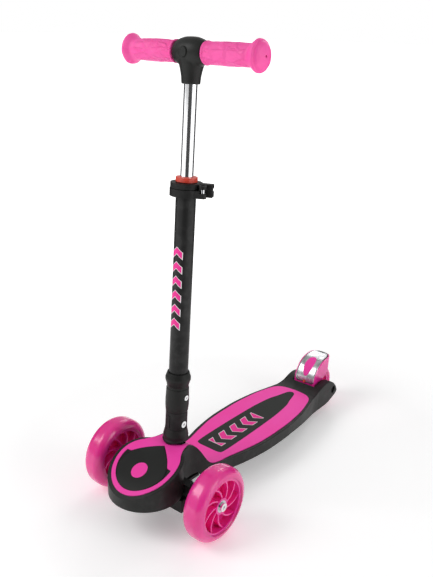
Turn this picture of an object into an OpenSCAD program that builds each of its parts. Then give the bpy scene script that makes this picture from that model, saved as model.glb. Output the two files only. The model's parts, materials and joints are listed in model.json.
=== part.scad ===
// Three-wheeled kick scooter for a child: lean-to-steer front truck, folding T-bar column,
// telescoping handlebar with a quick-release clamp, and a fender brake over the rear wheel.
// Rider faces -Y, +X is the rider's left, +Z is up. The origin is on the ground, mid-length.

/* [Front wheels] */
// Diameter of each front wheel
front_wheel_d = 135; // [110:1:165]
// Width of each front wheel
front_wheel_w = 42; // [30:1:50]
// Distance between the middle planes of the front wheels
wheel_track = 242; // [200:1:300]

/* [Rear wheel] */
// Diameter of the rear wheel
rear_wheel_d = 94; // [78:1:115]
// Width of the rear wheel
rear_wheel_w = 32; // [24:1:38]
// Distance from the front axles to the rear axle
wheelbase = 532; // [440:1:650]

/* [Deck] */
// Height of the deck's top above the ground
deck_top_z = 64; // [58:1:80]
// Greatest width of the deck
deck_w = 149; // [125:1:180]
// Height of the deck's side walls
deck_edge_h = 24; // [16:1:28]
// Thickness of the deck's moulded walls
skin = 3; // [2:0.5:5]
// Thickness of the coloured inlays on the deck
inlay_t = 1.2; // [0.8:0.1:2]

/* [Head] */
// Diameter of the round housing in front of the column
head_d = 134; // [120:1:140]
// Distance from the column to the middle of the round housing
head_offset = 76; // [70:1:85]
// Height of the housing's flat top beside the column
head_top_z = 128; // [124:1:140]
// Height of the housing's lower rim
head_bottom_z = 62; // [60:1:68]
// Width of the black rim round the coloured inlay
head_rim = 6.5; // [4:0.5:10]

/* [Lean steering] */
// Height of the lean axis above the front axles
lean_rise = 7.5; // [5:0.5:10]
// Largest lean to each side
lean_max = 10; // [6:1:12]
// Diameter of the lean pin
lean_pin_d = 10; // [8:0.5:12]
// Length of the lever below the lean axis
lever_r = 32; // [28:1:33]
// Length of the steering arm on each knuckle
arm_r = 20; // [16:1:22]
// Distance from each kingpin to the inner face of its wheel
kingpin_inset = 20; // [18:0.5:26]
// Diameter of each kingpin
kingpin_d = 8; // [6:0.5:10]
// Diameter of the wheel axles
axle_d = 8; // [6:0.5:10]

/* [Column] */
// Rearward rake of the column
rake = 2.8; // [0:0.1:6]
// Outer diameter of the lower column tube
outer_tube_d = 34; // [28:0.1:41]
// Wall of the lower column tube
outer_wall = 1.6; // [1.2:0.1:2.5]
// Outer diameter of the sliding chrome tube
inner_tube_d = 21.8; // [20:0.1:24]
// Wall of the sliding chrome tube
inner_wall = 1.5; // [1:0.1:2]
// Height of the fold pivot along the column
fold_s = 64.6; // [62:0.1:70]
// Diameter of the fold bolt
fold_bolt_d = 8; // [6:0.5:9]
// Top of the lower column tube along the column
tube_top_s = 500; // [420:1:580]
// Height of the handlebar's axis along the column
bar_s = 699.5; // [660:0.5:800]
// How far the handlebar slides down
bar_travel = 140; // [60:1:150]
// How far the locking sleeve lifts
sleeve_travel = 12; // [8:1:14]

/* [Handlebar] */
// Overall width of the handlebar
bar_w = 280; // [230:1:340]
// Diameter of the steel handlebar tube
bar_tube_d = 22; // [19:0.5:25]
// Diameter of the grips
grip_d = 37; // [30:0.5:40]
// Diameter of the flange at each grip's outer end
grip_flange_d = 50; // [44:0.5:56]

/* [Fender brake] */
// Outer width of the brake fender
fender_w = 53; // [48:1:56]
// Thickness of the fender's shell
fender_t = 3.5; // [2.5:0.5:5]

/* [Fits] */
// Radial clearance of a shaft that turns or slides in a hole
run_fit = 0.05; // [0.02:0.01:0.1]
// Gap between faces that pass each other
gap = 0.5; // [0.3:0.1:1]

/* [Hidden] */

$fn = 72;
eps = 0.01;
far = 400;

// Colours
pink = [1.0, 0.28, 0.68];
wheel_pink = [0.93, 0.16, 0.55];
black = [0.09, 0.1, 0.1];
steel = [0.72, 0.73, 0.75];
chrome = [0.86, 0.87, 0.88];
red = [0.9, 0.3, 0.22];

// Places along the scooter, from the column's foot
front_axle_y = -33;
rear_axle_y = front_axle_y + wheelbase;
head_r = head_d / 2;
head_y = -head_offset;
front_axle_z = front_wheel_d / 2;
lean_z = front_axle_z + lean_rise;
rear_r = rear_wheel_d / 2;
rear_axle_z = rear_r;
head_front_y = head_y - head_r;
tail_y = rear_axle_y + rear_wheel_d / 2;
mid_y = (head_front_y + tail_y) / 2;
column_foot_z = 100;
wheel_x = wheel_track / 2;
kingpin_x = wheel_x - front_wheel_w / 2 - kingpin_inset;
deck_half = deck_w / 2;
deck_bottom_z = deck_top_z - deck_edge_h;
arm_end_y = rear_axle_y + 17;
fork_half = fender_w / 2 + 3;
rear_arm_half = fork_half + 18;

// ---------- Helpers ----------

// Smooth curve through a few control points, with n steps between each pair
function smooth(p, n = 4) = [
    for (i = [0 : len(p) - 2], k = [0 : n - 1])
        let (a = p[max(i - 1, 0)], b = p[i], c = p[i + 1], d = p[min(i + 2, len(p) - 1)], t = k / n)
        0.5 * (2 * b + (c - a) * t + (2 * a - 5 * b + 4 * c - d) * t * t + (3 * b - a - 3 * c + d) * t * t * t),
    p[len(p) - 1]
];
function shift_all(p, v) = [for (q = p) q + v];
function mirrored(p) = [for (i = [len(p) - 1 : -1 : 0]) [-p[i][0], p[i][1]]];
function both_sides(p) = concat(p, mirrored(p));
function inwards(p, d) = [for (q = p) [max(q[0] - d, 0), q[1]]];

// Places a child that is drawn from the column's foot on the ground
module place() translate([0, -mid_y, 0]) children();

// Places a child that is drawn along the raked column, with its foot at zero
module column() place() translate([0, 0, column_foot_z]) rotate([-rake, 0, 0]) children();

module along_x(x0, x1, r) translate([x0, 0, 0]) rotate([0, 90, 0]) cylinder(h = x1 - x0, r = r);
module along_y(y0, y1, r) translate([0, y0, 0]) rotate([-90, 0, 0]) cylinder(h = y1 - y0, r = r);
module box(x, y, z) translate([x[0], y[0], z[0]]) cube([x[1] - x[0], y[1] - y[0], z[1] - z[0]]);
module tube(r_out, r_in, z0, z1) difference() {
    translate([0, 0, z0]) cylinder(h = z1 - z0, r = r_out);
    translate([0, 0, z0 - 1]) cylinder(h = z1 - z0 + 2, r = r_in);
}

// Extrudes a side view, drawn as [y, z], across the scooter
module across(half) rotate([90, 0, 90]) translate([0, 0, -half]) linear_extrude(2 * half) children();

// Round wire wound as a helix about Z, with straight cut ends
module coil(r, wire, turns, height, steps = 12, sides = 6) {
    n = round(turns * steps);
    rings = [for (i = [0 : n]) let (a = 360 * turns * i / n, z = height * i / n)
        [for (k = [0 : sides - 1]) let (b = 360 * k / sides, q = r + wire / 2 * cos(b))
            [q * cos(a), q * sin(a), z + wire / 2 * sin(b)]]];
    faces = concat(
        [[for (k = [0 : sides - 1]) k]],
        [for (i = [0 : n - 1], k = [0 : sides - 1])
            let (a = i * sides, b = (i + 1) * sides, m = (k + 1) % sides) [a + k, b + k, b + m, a + m]],
        [[for (k = [sides - 1 : -1 : 0]) n * sides + k]]
    );
    polyhedron(points = [for (ring = rings) each ring], faces = faces, convexity = 6);
}

// ---------- Outlines ----------

// The plan's flare spreads over the length between the waist and the tail, and widens with the deck
drawn_half = 74.5;
flare_y = 95;
flare_k = (rear_axle_y - 324) / 175;
function clamp01(v) = min(max(v, 0), 1);
function front_part(p) = [for (q = p) [q[0] + (deck_half - drawn_half) * clamp01((q[1] - flare_y) / 145),
    q[1] > flare_y ? flare_y + (q[1] - flare_y) * flare_k : q[1]]];
function rear_part(p) = [for (q = p) [q[0] + (deck_half - drawn_half) * clamp01((-111 - q[1]) / 98),
    rear_axle_y + q[1]]];

// Right half of the deck's plan, from the waist to the rear arms
deck_half_plan = concat(
    smooth(front_part([[45, -40], [37, -20], [33, 0], [34, 15], [40, 35], [47, 55], [51, 75], [54, 95],
        [65, 140], [73, 195], [drawn_half, 240], [drawn_half, 270]])),
    smooth(rear_part([[73, -209], [70, -184], [66, -158], [61, -136], [55, -111], [50, -89],
        [rear_arm_half, -66]])),
    [[rear_arm_half, rear_axle_y + 30]]
);

// Right half of the coloured inlay's plan, from the waist to its round rear end
overlay_half_plan = concat(
    smooth(front_part([[53, -48], [45, -36], [35, -18], [29, 0], [28.5, 10], [31, 24], [36, 41], [43, 57],
        [46, 76], [48.5, 100], [57, 138], [64, 176], [67, 215], [67.5, 265]])),
    smooth(rear_part([[66.5, -209], [64, -184], [60.5, -158], [55.5, -136], [49, -113], [41, -100],
        [26, -92], [0, -89]]))
);

// Right half of the grip panel's plan
panel_front_y = 97;
panel_half_plan = concat(
    smooth(front_part([[20, panel_front_y], [27, panel_front_y + 2], [31, panel_front_y + 10], [32, 150],
        [31.5, 215], [30, 270]])),
    smooth(rear_part([[29, -209], [27, -188], [23, -159], [17, -139], [12, -119], [9, -109],
        [5, -103.5], [0, -101.5]]))
);

// Top line of the scooter's body in side view, as [y, z], from the head to the rear arms
head_line = smooth([[head_front_y - 4, 81], [-120, 97], [-100, 106.5], [-80, 115.5], [-60, 122.5],
    [-40, head_top_z - 1.2], [-24, head_top_z], [-8, head_top_z], [6, head_top_z - 1.5], [18, head_top_z - 9],
    [30, head_top_z - 25], [42, head_top_z - 45], [51, deck_top_z + 9], [62, deck_top_z + 3.5],
    [80, deck_top_z + 0.6], [100, deck_top_z]]);
tail_line = smooth(shift_all([[-88, deck_top_z], [-68, deck_top_z + 3], [-45, rear_axle_z + 27],
    [-26, rear_axle_z + 29], [-8, rear_axle_z + 24], [7, rear_axle_z + 12], [16, rear_axle_z - 1],
    [17, rear_axle_z - 9], [8, rear_axle_z - 15]], [rear_axle_y, 0]));
top_line = concat(head_line, tail_line);
bottom_line = concat(
    smooth(shift_all([[-17, rear_axle_z - 25], [-38, rear_axle_z - 27], [-79, rear_axle_z - 26.5],
        [-115, 26], [-160, 34], [-214, deck_bottom_z]], [rear_axle_y, 0])),
    [[40, deck_bottom_z], [24, head_bottom_z], [head_front_y - 4, head_bottom_z]]
);

module deck_plan(inset = 0) {
    polygon(both_sides(inwards(deck_half_plan, inset)));
    translate([0, head_y]) circle(r = head_r - inset, $fn = 120);
}
module overlay_plan() {
    polygon(both_sides(overlay_half_plan));
    translate([0, head_y]) circle(r = head_r - head_rim, $fn = 120);
}
module panel_plan() polygon(both_sides(panel_half_plan));

// Drop-shaped inset: a round front with a blunt corner towards the column
inset_r = head_r - head_rim - 7.5;
inset_tip_y = head_y + 48;
inset_half_plan = concat(
    smooth([[0, inset_tip_y], [16, inset_tip_y - 13], [31, inset_tip_y - 26.5], [43, inset_tip_y - 40]]),
    [for (a = [8 : -7 : -90]) [inset_r * cos(a), head_y + inset_r * sin(a)]],
    [[0, head_y - inset_r]]
);
module inset_plan() polygon(both_sides(inset_half_plan));

// Body between the plan and the top line, lowered by drop
module body_solid(inset, drop) intersection() {
    translate([0, 0, -1]) linear_extrude(200) deck_plan(inset);
    across(150) polygon(concat(shift_all(top_line, [0, -drop]), bottom_line));
}

// Thin layer that follows the top line, between two depths below it
module top_layer(depth_0, depth_1) across(100) polygon(concat(
    shift_all(head_line, [0, -depth_0]), [[rear_axle_y - 80, deck_top_z - depth_0],
    [rear_axle_y - 80, deck_top_z - depth_1]],
    [for (i = [len(head_line) - 1 : -1 : 0]) head_line[i] - [0, depth_1]]));

// ---------- Deck ----------

neck_r = 9.5;
neck_slot = (head_top_z - lean_z) * sin(lean_max) + 0.5;
module neck_opening(r, z) for (s = [-1, 1]) translate([s * neck_slot, 0, z]) cylinder(h = 60, r = r);
module neck_hole(z = 90) {
    r = neck_r + 2.5;
    neck_opening(r, z);
    box([-neck_slot, neck_slot], [-r, r], [z, z + 60]);
}

axle_recess_r = 8.5;
recess = 8;
brake_pin_y = rear_axle_y - rear_r - 7;
brake_pin_z = rear_axle_z + 6;
brake_pin_d = 5;

// Space inside the shell, open below
module deck_hollow() {
    intersection() {
        body_solid(skin, inlay_t + skin);
        box([-far, far], [-far, tail_block_y], [0, 200]);
    }
    intersection() {
        translate([0, 0, head_bottom_z - 1]) linear_extrude(20) deck_plan(skin);
        box([-far, far], [-far, 22], [0, head_bottom_z + 12]);
    }
    intersection() {
        translate([0, 0, deck_bottom_z - 1]) linear_extrude(16) deck_plan(skin);
        box([-far, far], [42, tail_block_y - 3], [0, deck_bottom_z + 12]);
    }
}
// Stiffening ribs under the deck and the head
tail_block_y = rear_axle_y - rear_r - 58;
cover_top_z = head_bottom_z + 2.5;
module ribs() {
    for (y = [66 : 46 : tail_block_y - 20])
        box([-far, far], [y - rib_t / 2, y + rib_t / 2], [deck_bottom_z + 2, 200]);
    for (x = [-25, 25]) {
        box([x - rib_t / 2, x + rib_t / 2], [66, tail_block_y], [deck_bottom_z + 2, 200]);
        box([x - rib_t / 2, x + rib_t / 2], [-far, beam_y[0] - 6], [cover_top_z, 200]);
    }
    box([-far, far], [head_y - 24, head_y - 24 + rib_t], [cover_top_z, 200]);
    for (p = cover_screw_at) translate([p[0], p[1], cover_top_z]) cylinder(h = 100, r = 4);
}
rib_t = 2.4;

module deck_shell() color(black) place() difference() {
    body_solid(0, inlay_t);
    difference() {
        deck_hollow();
        ribs();
    }
    for (p = cover_screw_at) translate([p[0], p[1], 0]) cylinder(h = cover_top_z + 8, r = 1.75);
    neck_hole();
    // Windows that the arms of the front frame pass through
    box([-far, far], [front_axle_y - arm_half, front_axle_y + arm_half], [0, arm_z[1]]);
    // Fork for the rear wheel and the brake fender
    box([-fork_half, fork_half], [rear_axle_y - rear_r - 10, rear_axle_y + 60], [-1, 120]);
    box([-fork_half, fork_half], [brake_pin_y - 6.5, rear_axle_y], [-1, brake_pin_z + 7]);
    translate([0, rear_axle_y, rear_axle_z]) {
        along_x(-100, 100, axle_d / 2);
        along_x(rear_arm_half - recess, rear_arm_half + 1, axle_recess_r);
        along_x(-rear_arm_half - 1, -rear_arm_half + recess, axle_recess_r);
    }
    translate([0, brake_pin_y, brake_pin_z]) along_x(-fork_half - 12, fork_half + 12, brake_pin_d / 2);
}

module top_overlay() color(pink) place() difference() {
    intersection() {
        linear_extrude(200) overlay_plan();
        top_layer(0, inlay_t);
    }
    linear_extrude(200) panel_plan();
    linear_extrude(200) inset_plan();
    neck_hole();
}

module grip_panel() color(black) place() intersection() {
    linear_extrude(200) panel_plan();
    top_layer(0, inlay_t);
}

button_r = 14.5;
button_y = head_y - 16.5;
module head_inset() color(black) place() difference() {
    intersection() {
        linear_extrude(200) inset_plan();
        top_layer(0, inlay_t);
    }
    translate([0, button_y, 0]) cylinder(h = 200, r = button_r);
}
module head_button() color(pink) place() intersection() {
    translate([0, button_y, 0]) cylinder(h = 200, r = button_r);
    top_layer(-0.6, inlay_t);
}

// ---------- Front truck ----------

beam_y = [front_axle_y - 22, front_axle_y + 12];
beam_half = kingpin_x - 15;
rod_y = front_axle_y + arm_r;
rod_z = lean_z - lever_r;
rod_half = 2.7;
boss_r = 11;
boss_z = [front_axle_z - 15.5, front_axle_z + 15.5];
arm_half = 9;
arm_z = [boss_z[0] + 1, boss_z[1] - 3];
plate_t = 5.5;
base_z = [rod_z + 6, rod_z + 12];
ear_front_y = [-34, -26];
ear_rear_y = [24, 32];
spring_x = 21;
spring_seat_z = base_z[1];
lug_z = lean_z + 8;

module front_frame() color(black) place() difference() {
    union() {
        box([-beam_half, beam_half], beam_y, [base_z[0] - 19, base_z[1]]);
        box([-32, 32], [beam_y[0], ear_rear_y[1]], base_z);
        for (e = [ear_front_y, ear_rear_y]) {
            box([-14, 14], e, [base_z[0], lean_z]);
            translate([0, 0, lean_z]) along_y(e[0], e[1], 14);
        }
        for (s = [-1, 1]) {
            translate([s * kingpin_x, front_axle_y, boss_z[0]]) cylinder(h = boss_z[1] - boss_z[0], r = boss_r);
            box([s > 0 ? 40 : -kingpin_x, s > 0 ? kingpin_x : -40],
                [front_axle_y - arm_half, front_axle_y + arm_half], arm_z);
            // Seats of the two centring springs
            translate([s * spring_x, 0, base_z[0]]) cylinder(h = base_z[1] - base_z[0] + 1, r = 7.5);
        }
    }
    translate([0, 0, lean_z]) along_y(-60, 60, lean_pin_d / 2);
    for (s = [-1, 1]) translate([s * kingpin_x, front_axle_y, 0]) cylinder(h = 120, r = kingpin_d / 2);
    // Window for the steering lever
    box([-13.2, 13.2], [rod_y - 8, rod_y + 8], [base_z[0] - 1, base_z[1] + 3]);
    // Weight-saving pockets under the beam
    for (s = [-1, 1]) box([s > 0 ? 18 : 7 - beam_half, s > 0 ? beam_half - 7 : -18],
        [beam_y[0] + 4, beam_y[1] - 4], [base_z[0] - 20, base_z[0]]);
}

module lean_pin() color(steel) place() translate([0, 0, lean_z]) {
    along_y(ear_front_y[0] - 3, ear_rear_y[1] + 3, lean_pin_d / 2);
    along_y(ear_front_y[0] - 6, ear_front_y[0], 8);
    along_y(ear_rear_y[1], ear_rear_y[1] + 5, 7.5);
}

shield_r = head_top_z - lean_z - 9;
module lean_block() color(black) {
    place() difference() {
        union() {
            translate([0, 0, lean_z]) along_y(ear_front_y[1] + gap, ear_rear_y[0] - gap, 13);
            // Steering lever, narrow where it drops into the tie rod
            box([-4, 4], [rod_y - 5, rod_y + 5], [rod_z, lean_z]);
            box([-7, 7], [rod_y - 5, rod_y + 5], [rod_z + 9, lean_z]);
            translate([0, 0, rod_z]) along_y(rod_y - 5, rod_y + 5, 5);
            // Dust shield under the slot in the head
            translate([0, 0, lean_z]) difference() {
                along_y(-16, 7, shield_r + 1.4);
                along_y(-17, 8, shield_r);
                box([-far, far], [-20, 20], [-far, shield_r - 3]);
            }
            // Wings that press on the centring springs
            box([-28, 28], [-6, 6], [lug_z, lug_z + 4]);
            translate([0, 0, lean_z + 8]) cylinder(h = column_foot_z - lean_z - 6, r = neck_r + 1.5);
        }
        translate([0, 0, lean_z]) along_y(-60, 60, lean_pin_d / 2 + run_fit);
        box([-9, 9], [rod_y - 6, rod_y + 6], [rod_z - 9, rod_z - 3]);
    }
    column() cylinder(h = 48, r = neck_r);
}

spring_h = lug_z - spring_seat_z - 1.4;
module lean_spring(s) color(steel) place() translate([s * spring_x, 0, spring_seat_z + 1.8])
    coil(5, 1.8, 5, spring_h - 1.8);
module lean_spring_left() lean_spring(1);
module lean_spring_right() lean_spring(-1);

module kingpins() color(steel) place() for (s = [-1, 1]) translate([s * kingpin_x, front_axle_y, 0]) {
    translate([0, 0, boss_z[0] - plate_t - 4])
        cylinder(h = boss_z[1] - boss_z[0] + 2 * plate_t + 9, r = kingpin_d / 2);
    translate([0, 0, boss_z[1] + plate_t + 1]) cylinder(h = 4, r = 7);
}
module kingpin_nuts() color(steel) place() for (s = [-1, 1])
    translate([s * kingpin_x, front_axle_y, boss_z[0] - plate_t - 5.5]) difference() {
        cylinder(h = 4.5, r = 7, $fn = 6);
        translate([0, 0, -1]) cylinder(h = 7, r = kingpin_d / 2);
    }

module tie_rod() color(steel) place() difference() {
    union() {
        box([-kingpin_x, kingpin_x], [rod_y - 3, rod_y + 3], [rod_z - rod_half, rod_z + rod_half]);
        for (s = [-1, 1]) translate([s * kingpin_x, rod_y, rod_z - rod_half]) cylinder(h = 2 * rod_half, r = 7.5);
        box([-11, 11], [rod_y - 7.4, rod_y + 7.4], [rod_z - rod_half, rod_z + rod_half]);
    }
    box([-5.2, 5.2], [rod_y - 5.3, rod_y + 5.3], [rod_z - 4, rod_z + 4]);
    // Holes for the knuckle pins, longer along Y than across it
    for (s = [-1, 1]) {
        for (t = [-1, 1]) translate([s * kingpin_x, rod_y - 0.6 + t * 0.7, rod_z - 4]) cylinder(h = 8, r = 3.3);
        box([s * kingpin_x - 3.3, s * kingpin_x + 3.3], [rod_y - 1.3, rod_y + 0.1], [rod_z - 4, rod_z + 4]);
    }
}

web_x = [boss_r + 1.5, boss_r + 8];
knuckle_foot = boss_z[0] - gap - plate_t;
module knuckle() {
    difference() {
        union() {
            for (z = [boss_z[0] - plate_t - gap, boss_z[1] + gap]) translate([0, 0, z]) {
                cylinder(h = plate_t, r = boss_r);
                box([0, web_x[1]], [-boss_r, boss_r], [0, plate_t]);
            }
            box(web_x, [-boss_r, boss_r], [boss_z[0] - plate_t - gap, boss_z[1] + plate_t + gap]);
            // Shoulder that keeps the wheel off the knuckle
            translate([0, 0, front_axle_z])
                along_x(web_x[0], wheel_x - kingpin_x - bearing_x - bearing_t - gap, 6.5);
            // Steering arm and its pin, which hangs into the tie rod
            box([-5, 5], [0, arm_r], [knuckle_foot, knuckle_foot + plate_t]);
            translate([0, arm_r, knuckle_foot]) cylinder(h = plate_t, r = 5);
        }
        translate([0, 0, -eps]) cylinder(h = 200, r = kingpin_d / 2 + run_fit);
        translate([0, 0, front_axle_z]) along_x(0, 60, axle_d / 2);
    }
    translate([0, arm_r, rod_z - 3.5]) cylinder(h = knuckle_foot - rod_z + 5, r = 3);
}
module knuckle_left() color(black) place() translate([kingpin_x, front_axle_y, 0]) knuckle();
module knuckle_right() color(black) place() translate([-kingpin_x, front_axle_y, 0]) mirror([1, 0, 0]) knuckle();

// Bottom cover of the head, cut out for the beam and the steering parts
module bottom_cover() color(black) place() difference() {
    intersection() {
        translate([0, 0, head_bottom_z]) linear_extrude(2.5) deck_plan(skin + 0.3);
        box([-far, far], [-far, beam_y[0] - 2], [0, 100]);
    }
    for (p = cover_screw_at) translate([p[0], p[1], 0]) cylinder(h = 100, r = 1.75);
}
cover_screw_at = [for (s = [-1, 1], q = [[42, -75], [30, -118]]) [s * q[0], q[1]]];
module cover_screws() color(steel) place() for (p = cover_screw_at) translate([p[0], p[1], head_bottom_z]) {
    translate([0, 0, -2]) cylinder(h = 2, r = 3.5);
    translate([0, 0, -1]) cylinder(h = 9, r = 1.75);
}

// ---------- Wheels, drawn about X with the middle plane at zero ----------

bearing_r = 11;
bearing_t = 7;
bearing_x = 9;

module tyre(r, w, r_in, edge) rotate([0, 90, 0]) rotate_extrude($fn = 96) {
    half = w / 2;
    core = w / 2 - 3;
    polygon(concat(
        [[r_in, -core], [r_in + 3, -half]],
        [for (a = [-90 : 9 : 0]) [r - edge + edge * cos(a), -half + edge + edge * sin(a)]],
        [for (a = [0 : 9 : 90]) [r - edge + edge * cos(a), half - edge + edge * sin(a)]],
        [[r_in + 3, half], [r_in, core]]
    ));
}

// Hub with a rim, a thin web and swept spokes on both sides
module hub(r_rim, w, spokes) difference() {
    union() {
        rotate([0, 90, 0]) tube(r_rim, r_rim - 4, -w / 2 + 3, w / 2 - 3);
        along_x(-bearing_x - bearing_t, bearing_x + bearing_t, bearing_r + 4);
        along_x(-2, 2, r_rim - 2);
        for (i = [0 : spokes - 1]) rotate([i * 360 / spokes, 0, 0]) spoke(r_rim, w);
    }
    along_x(-60, 60, bearing_r - 2.5);
    for (s = [-1, 1]) translate([s * bearing_x, 0, 0])
        along_x(s > 0 ? 0 : -20, s > 0 ? 20 : 0, bearing_r);
}
// One swept spoke: a piece of a ring that leaves the boss at a slant
module spoke(r_rim, w) {
    sweep_r = r_rim * 0.62;
    rotate([0, 90, 0]) translate([0, 0, -w / 2 + 6]) linear_extrude(w - 12) intersection() {
        translate([0, sweep_r]) difference() {
            circle(r = sweep_r + 1.3, $fn = 60);
            circle(r = sweep_r - 1.3, $fn = 60);
        }
        difference() {
            circle(r = r_rim - 2);
            circle(r = bearing_r + 2);
        }
        translate([0, -2]) square([far, far]);
    }
}
module bearing_pair() rotate([0, 90, 0]) for (z = [-bearing_x - bearing_t, bearing_x])
    tube(bearing_r, axle_d / 2 + run_fit, z, z + bearing_t);

front_rim_r = front_wheel_d / 2 - 16.5;
front_edge = 15.5;
rear_rim_r = rear_wheel_d / 2 - 15;
rear_edge = 11;
module front_wheel_at(s) place() translate([s * wheel_x, front_axle_y, front_axle_z]) children();
module front_tyre(s) color(wheel_pink) front_wheel_at(s)
    tyre(front_wheel_d / 2, front_wheel_w, front_rim_r, front_edge);
module tyre_left() front_tyre(1);
module tyre_right() front_tyre(-1);
module hub_left() color(wheel_pink) front_wheel_at(1) hub(front_rim_r, front_wheel_w, 9);
module hub_right() color(wheel_pink) front_wheel_at(-1) mirror([1, 0, 0]) hub(front_rim_r, front_wheel_w, 9);
module bearings_left() color(steel) front_wheel_at(1) bearing_pair();
module bearings_right() color(steel) front_wheel_at(-1) bearing_pair();

// Axle bolt from the knuckle's web out to its head
module front_axle() {
    inner = kingpin_x + web_x[0] - wheel_x;
    head_x = bearing_x + bearing_t;
    along_x(inner, head_x + 2, axle_d / 2);
    difference() {
        along_x(head_x + gap, head_x + gap + 4.5, 7.5);
        along_x(head_x + gap + 1.5, head_x + gap + 6, 3);
    }
}
module axle_left() color(chrome) front_wheel_at(1) front_axle();
module axle_right() color(chrome) front_wheel_at(-1) mirror([1, 0, 0]) front_axle();

module rear_at() place() translate([0, rear_axle_y, rear_axle_z]) children();
rear_bearing_x = 5;
module rear_tyre() color(wheel_pink) rear_at() tyre(rear_wheel_d / 2, rear_wheel_w, rear_rim_r, rear_edge);
module rear_hub() color(wheel_pink) rear_at() difference() {
    union() {
        rotate([0, 90, 0]) tube(rear_rim_r, rear_rim_r - 4, -rear_wheel_w / 2 + 3, rear_wheel_w / 2 - 3);
        along_x(-rear_bearing_x - bearing_t, rear_bearing_x + bearing_t, bearing_r + 3.5);
        along_x(-2, 2, rear_rim_r - 2);
        for (i = [0 : 6]) rotate([i * 360 / 7, 0, 0]) spoke(rear_rim_r, rear_wheel_w);
    }
    along_x(-60, 60, bearing_r - 2.5);
    for (s = [-1, 1]) translate([s * rear_bearing_x, 0, 0]) along_x(s > 0 ? 0 : -20, s > 0 ? 20 : 0, bearing_r);
}
module rear_bearings() color(steel) rear_at() rotate([0, 90, 0]) for (z = [-rear_bearing_x - bearing_t, rear_bearing_x])
    tube(bearing_r, axle_d / 2 + run_fit, z, z + bearing_t);
module rear_axle() color(chrome) rear_at() {
    along_x(-rear_arm_half + recess - 6, rear_arm_half - recess, axle_d / 2);
    difference() {
        along_x(rear_arm_half - recess, rear_arm_half - recess + 4, 7);
        along_x(rear_arm_half - recess + 2, rear_arm_half, 3);
    }
}
module rear_axle_nut() color(steel) rear_at() difference() {
    translate([-rear_arm_half + recess - 5, 0, 0]) rotate([0, 90, 0]) cylinder(h = 5, r = 7.5, $fn = 6);
    along_x(-100, 100, axle_d / 2);
}
module rear_spacers() color(steel) rear_at() rotate([0, 90, 0]) for (s = [-1, 1])
    tube(6, axle_d / 2, s > 0 ? rear_bearing_x + bearing_t + gap : -fork_half,
        s > 0 ? fork_half : -rear_bearing_x - bearing_t - gap);

// ---------- Fender brake ----------

fender_half = fender_w / 2;
// The fender and its trim are drawn round a 94 mm wheel and grow with the rear wheel
fender_k = rear_wheel_d / 94;
function grown(p) = [for (q = p) q * fender_k];
// Outer line of the fender in side view, relative to the rear axle
fender_line = smooth(grown([[-52.6, 4], [-52.8, 14], [-52.5, 24], [-50.5, 38], [-44, 50.5], [-35, 60.5], [-22, 68],
    [-8, 71.5], [6, 72.8], [18, 73.5], [27, 71.5]]));
function fender_inner(t) = [for (i = [0 : len(fender_line) - 1])
    let (a = fender_line[max(i - 1, 0)], b = fender_line[min(i + 1, len(fender_line) - 1)], d = b - a)
    fender_line[i] + t / norm(d) * [d[1], -d[0]]];
module fender_full() polygon(concat(fender_line, grown([[25, 68], [16, 67], [8, 52], [-3, 35], [-12, 28],
    [-20, 23], [-34, 17], [-42, 11], [-47, 4]])));
module fender_pocket() polygon(concat(fender_inner(fender_t),
    [[80, 64 * fender_k], [80, -60], [fender_line[0][0] + fender_t, -60]]));

module brake_fender() color(pink) rear_at() difference() {
    union() {
        difference() {
            across(fender_half) fender_full();
            across(fender_half - 3) fender_pocket();
        }
        // Barrel on the brake pin
        translate([0, brake_pin_y - rear_axle_y, brake_pin_z - rear_axle_z]) along_x(-fender_half, fender_half, 5);
    }
    // Rounded lip
    difference() {
        box([-far, far], [1, far], [50 * fender_k, 110]);
        translate([0, 1, 0]) cylinder(h = 120, r = fender_half);
    }
    translate([0, brake_pin_y - rear_axle_y, brake_pin_z - rear_axle_z]) {
        along_x(-50, 50, brake_pin_d / 2 + run_fit);
        // Gaps for the return spring's coils
        for (s = [-1, 1]) translate([s * 14, 0, 0]) along_x(-5, 5, 6);
    }
    pad_shape(2);
    rivet_place() cylinder(h = 20, r = 2.5, center = true);
}

pad_half = 11;
trim_t = 1;
// Band that follows the fender line between two offsets from it
module band(keep, t0, t1) polygon(concat([for (i = keep) fender_inner(t0)[i]],
    [for (k = [len(keep) - 1 : -1 : 0]) fender_inner(t1)[keep[k]]]));
function between(y0, y1, z0 = 23) = [for (i = [0 : len(fender_line) - 1]) let (p = fender_line[i])
    if (p[0] > y0 * fender_k && p[0] < y1 * fender_k && p[1] > z0 * fender_k) i];
// Oval pad, cut square to the fender's slope
module pad_shape(depth, top = 6) intersection() {
    across(pad_half) band(between(-52, 8), -top, depth);
    translate(fender_k * [0, -24, 56]) rotate([-50, 0, 0]) scale([1, 2.35, 1])
        translate([0, 0, -40]) cylinder(h = 80, r = pad_half);
}
module brake_plate() color(chrome) rear_at() difference() {
    intersection() {
        across(fender_half - 2.5) band(between(-54, 24), -trim_t, 0);
        union() {
            box([-far, far], [-far, 1], [0, 110]);
            translate([0, 1, 0]) cylinder(h = 100, r = fender_half - 2.5);
        }
    }
    pad_shape(5);
    rivet_place() cylinder(h = 20, r = 2.5, center = true);
}
module brake_pad() color(pink) rear_at() pad_shape(2, 2);
module rivet_place() translate(fender_k * [0, -52.3, 26.6]) rotate([90, 0, 0]) children();
module brake_rivet() color(red) rear_at() rivet_place() {
    translate([0, 0, -fender_t]) cylinder(h = fender_t + 2, r = 2.5);
    translate([0, 0, trim_t + 0.4]) cylinder(h = 1.2, r = 3.5);
}
module brake_pin() color(steel) place() translate([0, brake_pin_y, brake_pin_z])
    along_x(-fork_half - 12, fork_half + 12, brake_pin_d / 2);
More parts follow.
